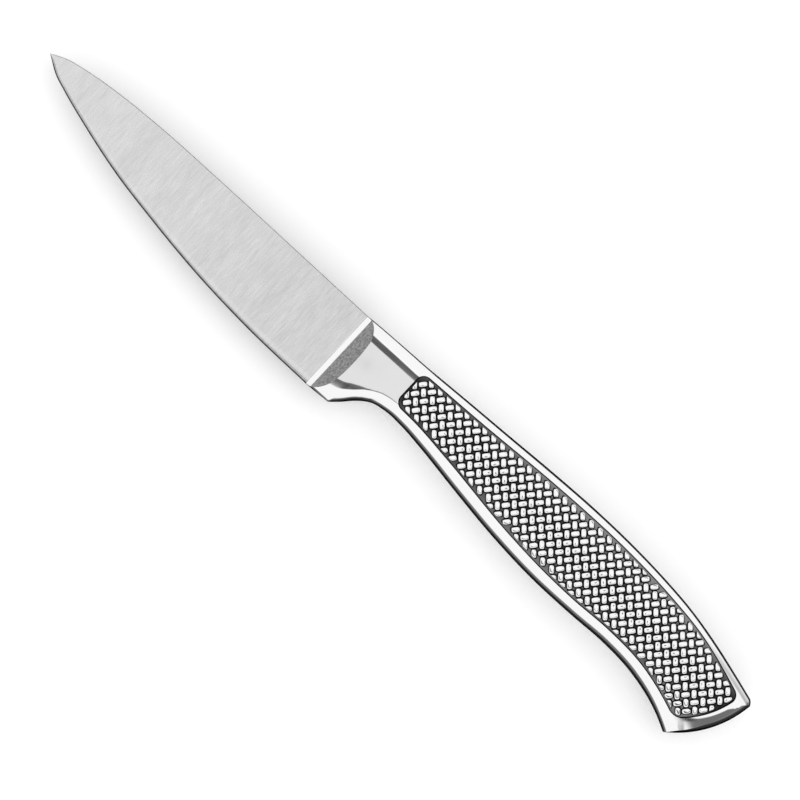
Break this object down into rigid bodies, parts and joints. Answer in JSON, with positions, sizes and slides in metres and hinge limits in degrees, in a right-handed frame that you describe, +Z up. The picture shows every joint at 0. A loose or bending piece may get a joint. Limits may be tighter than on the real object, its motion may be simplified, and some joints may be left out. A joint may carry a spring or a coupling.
{
  "type": "paring knife",
  "caption": "Small kitchen knife with a flat-ground pointed blade, a flowing bolster and a hollow steel handle with a basket-weave grip panel on each side.",
  "frame": {"origin": "middle of the footprint of the knife lying on its side, on the surface it lies on", "axes": "+X from the point to the butt, +Y towards the spine, +Z up through the thickness"},
  "size_m": [0.2042, 0.025, 0.0143],
  "materials": {
    "blade_steel": "satin, ground across the blade",
    "polished_steel": "polished stainless steel",
    "pad_steel": "polished stainless steel",
    "dark_ground": "matt dark fill",
    "weight_steel": "as cast"
  },
  "bodies": {
    "root": {"blade": "blade_steel", "bolster": "polished_steel", "handle_shell_left": "polished_steel", "handle_shell_right": "polished_steel", "butt_cap": "polished_steel", "grip_pads_left": "pad_steel", "grip_pads_right": "pad_steel", "panel_ground_left": "dark_ground", "panel_ground_right": "dark_ground", "balance_weight": "weight_steel"}
  },
  "joints": []
}
